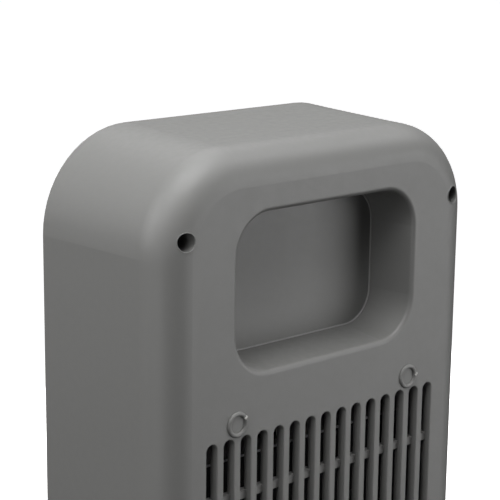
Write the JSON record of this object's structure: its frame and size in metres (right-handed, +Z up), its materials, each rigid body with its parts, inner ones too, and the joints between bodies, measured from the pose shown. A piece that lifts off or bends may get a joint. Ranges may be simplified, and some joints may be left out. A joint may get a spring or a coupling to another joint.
{
  "type": "carbon heater",
  "caption": "Grey plastic tower heater with carbon lamps behind a wire guard, vented back with a recessed handle, knobs and a push button, turning on a round weighted base.",
  "frame": {"origin": "on the floor under the swivel axis, the centre of the round base", "axes": "+Z up along the swivel axis, front (guard and controls) towards -Y, vented back towards +Y, +X to the right for someone facing the front"},
  "size_m": [0.23, 0.23, 0.62],
  "materials": {
    "shell_plastic": "matte mid-grey moulded plastic, fine grain",
    "frame_plastic": "matte mid-grey moulded plastic",
    "base_plastic": "matte grey moulded plastic",
    "fascia_plastic": "gloss black plastic",
    "knob_plastic": "satin black plastic",
    "button_plastic": "satin light grey plastic",
    "nylon": "natural nylon",
    "housing_plastic": "black switch housing",
    "terminal_plastic": "cream thermoset",
    "lens_plastic": "clear amber",
    "neon_glass": "clear neon lamp glass",
    "screw_steel": "black oxide",
    "zinc_steel": "zinc plated",
    "sheet_steel": "galvanised sheet",
    "shield_steel": "heat-proof black sheet",
    "bright_steel": "chromed wire",
    "reflector_metal": "polished",
    "ceramic": "unglazed white steatite ceramic",
    "quartz": "clear quartz glass",
    "carbon": "woven carbon fibre rope",
    "brass": "plain brass",
    "rubber": "black rubber",
    "lead_silicone": "white silicone sleeve",
    "base_steel": "black powder coat",
    "cast_iron": "as cast",
    "motor_metal": "zinc plated can",
    "post_plastic": "black glass-filled nylon"
  },
  "bodies": {
    "base": {"base_cover": "base_plastic", "base_plate": "base_steel", "base_screws": "zinc_steel", "ballast_ring": "cast_iron", "ballast_screws": "zinc_steel", "rubber_feet": "rubber", "cord_gland": "rubber", "collar_bush": "nylon", "thrust_washer": "nylon", "swivel_motor": "motor_metal", "motor_screws": "zinc_steel", "tip_switch": "housing_plastic", "tip_switch_screws": "zinc_steel"},
    "tip_plunger": {"tip_plunger": "nylon", "tip_spring": "zinc_steel"},
    "tower": {"rear_shell": "shell_plastic", "front_frame": "frame_plastic", "shell_screws": "screw_steel", "front_guard": "bright_steel", "guard_clips": "sheet_steel", "guard_clip_screws": "zinc_steel", "upper_bracket": "sheet_steel", "lower_bracket": "sheet_steel", "bracket_screws": "zinc_steel", "reflector": "reflector_metal", "heat_shield": "shield_steel", "ceramic_ends": "ceramic", "lamp_spring_rings": "sheet_steel", "quartz_tube_left": "quartz", "quartz_tube_right": "quartz", "carbon_element_left": "carbon", "carbon_element_right": "carbon", "thermal_cutout": "zinc_steel", "cutout_screws": "zinc_steel", "terminal_block": "terminal_plastic", "terminal_screws": "brass", "terminal_block_screws": "zinc_steel", "control_plate": "sheet_steel", "control_plate_screws": "zinc_steel", "control_fascia": "fascia_plastic", "heat_switch": "housing_plastic", "timer_unit": "motor_metal", "switch_nuts": "zinc_steel", "swing_switch": "housing_plastic", "indicator_lens": "lens_plastic", "pilot_lamp": "neon_glass", "swivel_post": "post_plastic", "neck_screws": "zinc_steel", "post_circlip": "zinc_steel", "motor_shaft": "zinc_steel", "lower_lamp_leads": "lead_silicone", "upper_lamp_leads": "lead_silicone", "switch_leads": "lead_silicone"},
    "heat_knob": {"heat_knob": "knob_plastic", "heat_shaft": "zinc_steel"},
    "timer_knob": {"timer_knob": "knob_plastic", "timer_shaft": "zinc_steel"},
    "swing_button": {"swing_button": "button_plastic"}
  },
  "joints": [
    {"name": "tower_swivel", "type": "hinge", "parent": "base", "child": "tower", "pos_m": [0, 0, 0.03], "axis": [0, 0, 1], "range_deg": [-35, 35]},
    {"name": "heat_knob_turn", "type": "hinge", "parent": "tower", "child": "heat_knob", "pos_m": [-0.026, -0.039, 0.566], "axis": [0, 1, 0], "range_deg": [0, 120]},
    {"name": "timer_knob_turn", "type": "hinge", "parent": "tower", "child": "timer_knob", "pos_m": [0.026, -0.039, 0.566], "axis": [0, 1, 0], "range_deg": [0, 300]},
    {"name": "swing_button_press", "type": "slide", "parent": "tower", "child": "swing_button", "axis": [0, 1, 0], "range_m": [0, 0.0025], "stiffness_N_per_m": 400, "springref_m": -0.001},
    {"name": "tip_plunger_drop", "type": "slide", "parent": "base", "child": "tip_plunger", "axis": [0, 0, -1], "range_m": [0, 0.004], "stiffness_N_per_m": 100, "springref_m": 0.006, "deforming": ["tip_spring"]}
  ]
}
